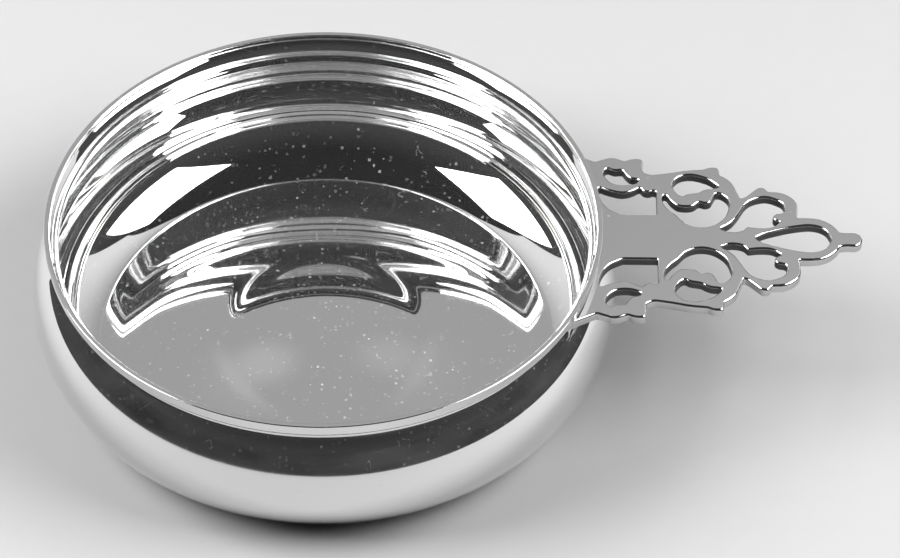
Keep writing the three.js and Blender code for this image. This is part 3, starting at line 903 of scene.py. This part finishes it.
class PORRINGER_OT_bowl(Operator):
    """Build the raised silver bowl"""

    bl_idname = "porringer.bowl"
    bl_label = "Bowl"

    def execute(self, context):
        """Painted shade darkens the outside in the tarnished colour, most of it at the front."""
        sizes, finish = context.scene.porringer_bowl, context.scene.porringer_finish
        section = bowl_section(sizes)
        bowl = new_object("silver_bowl", *revolve(section, AXIS_X, sizes.steps))
        angle = np.arange(sizes.steps) * 2 * math.pi / sizes.steps
        # Painted shade, strongest at the front of the bowl
        painted_front_shade = finish.painted_front_shade * np.clip(np.cos(angle - math.radians(PAINTED_SHADE_MIDDLE)), 0, 1) ** 2
        outside = np.arange(1, len(section) - 1) < np.argmax(section[:, 1])
        add_tarnish_and_painted_shade(bowl, np.append(outside[:, None] * painted_front_shade, [0, 0]))
        material = silver_material("polished_silver_sheet", finish.sheet, finish, SHEET_SPECKS,
                                   finish.ring_height)
        finish_piece(bowl, material, "bowl")
        return {"FINISHED"}


class PORRINGER_OT_handle(Operator):
    """Build the cast and pierced handle on the outlines of its CAD node"""

    bl_idname = "porringer.handle"
    bl_label = "Handle"

    def execute(self, context):
        """The walls of the piercings, where no polishing wheel reaches, are fully tarnished. Round the
        outside the same colour, about half as strong, is painted shade. Both run out over the rounded
        edges."""
        sizes, finish = context.scene.porringer_handle, context.scene.porringer_finish
        outside = upper_outside(context.scene.porringer_bowl)
        insets, heights = edge_rows(HANDLE_LOW.z, HANDLE_HIGH.z, sizes.edge)
        bands = [plate_band(loop, insets, heights, outside, sizes) for loop in underside_loops("handle")]
        rows = len(heights)
        counts = np.array([band.shape[1] for band in bands])
        starts = rows * (np.cumsum(counts) - counts)
        faces = [band_faces(rows, count, start) for count, start in zip(counts, starts)]
        faces.append(cap_faces([band[0] for band in bands], starts, -1))
        faces.append(cap_faces([band[-1] for band in bands], starts + (rows - 1) * counts, 1))
        vertices = np.concatenate([band.reshape(-1, 3) for band in bands])
        handle = new_object("pierced_handle", vertices, *faces)
        depth = np.clip(np.minimum(heights - heights[0], heights[-1] - heights) / sizes.edge, 0, 1)
        # Round the outline the tarnished colour is painted shade
        shares = np.where(counts == counts.max(), OUTLINE_PAINTED_SHADE, 1.0)
        tarnish_and_painted_shade = [np.repeat(depth * share, count) for share, count in zip(shares, counts)]
        add_tarnish_and_painted_shade(handle, np.concatenate(tarnish_and_painted_shade))
        material = silver_material("polished_silver_casting", finish.casting, finish, CASTING_SPECKS, 0.0)
        finish_piece(handle, material, "handle")
        return {"FINISHED"}


class PORRINGER_OT_seam(Operator):
    """Build the seam of solder between the handle's underside and the bowl"""

    bl_idname = "porringer.seam"
    bl_label = "Solder seam"

    def execute(self, context):
        sizes, finish = context.scene.porringer_seam, context.scene.porringer_finish
        outside = upper_outside(context.scene.porringer_bowl)
        seam = new_object("solder_seam", *solder_seam(sizes, outside))
        finish_piece(seam, solder_material(finish.solder), "handle_solder")
        return {"FINISHED"}


class PORRINGER_OT_stage(Operator):
    """Build the paper floor, the softboxes, the backdrop, the flag and the camera"""

    bl_idname = "porringer.stage"
    bl_label = "Studio"

    def execute(self, context):
        scene, studio = context.scene, context.scene.porringer_studio
        centre = np.array([AXIS_X, 0, BOWL_HIGH.z / 2])
        floor = paper_floor(studio)
        backdrop = paper_backdrop(studio, centre)
        flag = black_flag(studio)
        # Only reflections show the backdrop and the flag
        for sheet in (backdrop, flag):
            sheet.visible_diffuse = False
            sheet.visible_camera = False
            sheet.visible_shadow = False
        add_softboxes(scene, studio, centre)
        add_room(scene, studio)
        add_camera(scene, studio)
        scene.view_settings.view_transform = "Standard"
        # Light runs to and fro between the hollow walls of the bowl more often than other things need
        scene.cycles.glossy_bounces = GLOSSY_BOUNCES
        scene.cycles.caustics_reflective = False
        return {"FINISHED"}


PROPERTY_GROUPS = {
    "porringer_bowl": BowlSizes,
    "porringer_handle": HandleSizes,
    "porringer_seam": SeamSizes,
    "porringer_finish": SilverFinish,
    "porringer_studio": StudioSetup,
}
OPERATORS = (PORRINGER_OT_bowl, PORRINGER_OT_handle, PORRINGER_OT_seam, PORRINGER_OT_stage)


class PORRINGER_PT_panel(Panel):
    """Sizes, finishes and operators of the porringer"""

    bl_idname = "PORRINGER_PT_panel"
    bl_label = "Porringer"
    bl_space_type = "VIEW_3D"
    bl_region_type = "UI"
    bl_category = "Porringer"

    def draw(self, context):
        for operator in OPERATORS:
            self.layout.operator(operator.bl_idname)
        for name, group in PROPERTY_GROUPS.items():
            box = self.layout.box()
            for size in group.__annotations__:
                box.prop(getattr(context.scene, name), size)


CLASSES = (*PROPERTY_GROUPS.values(), *OPERATORS, PORRINGER_PT_panel)


def register():
    for cls in CLASSES:
        bpy.utils.register_class(cls)
    for name, group in PROPERTY_GROUPS.items():
        setattr(bpy.types.Scene, name, PointerProperty(type=group))


def unregister():
    for name in PROPERTY_GROUPS:
        delattr(bpy.types.Scene, name)
    for cls in reversed(CLASSES):
        bpy.utils.unregister_class(cls)


def main():
    register()
    bpy.ops.porringer.bowl()
    bpy.ops.porringer.handle()
    bpy.ops.porringer.seam()
    bpy.ops.porringer.stage()


if __name__ == "__main__":
    main()
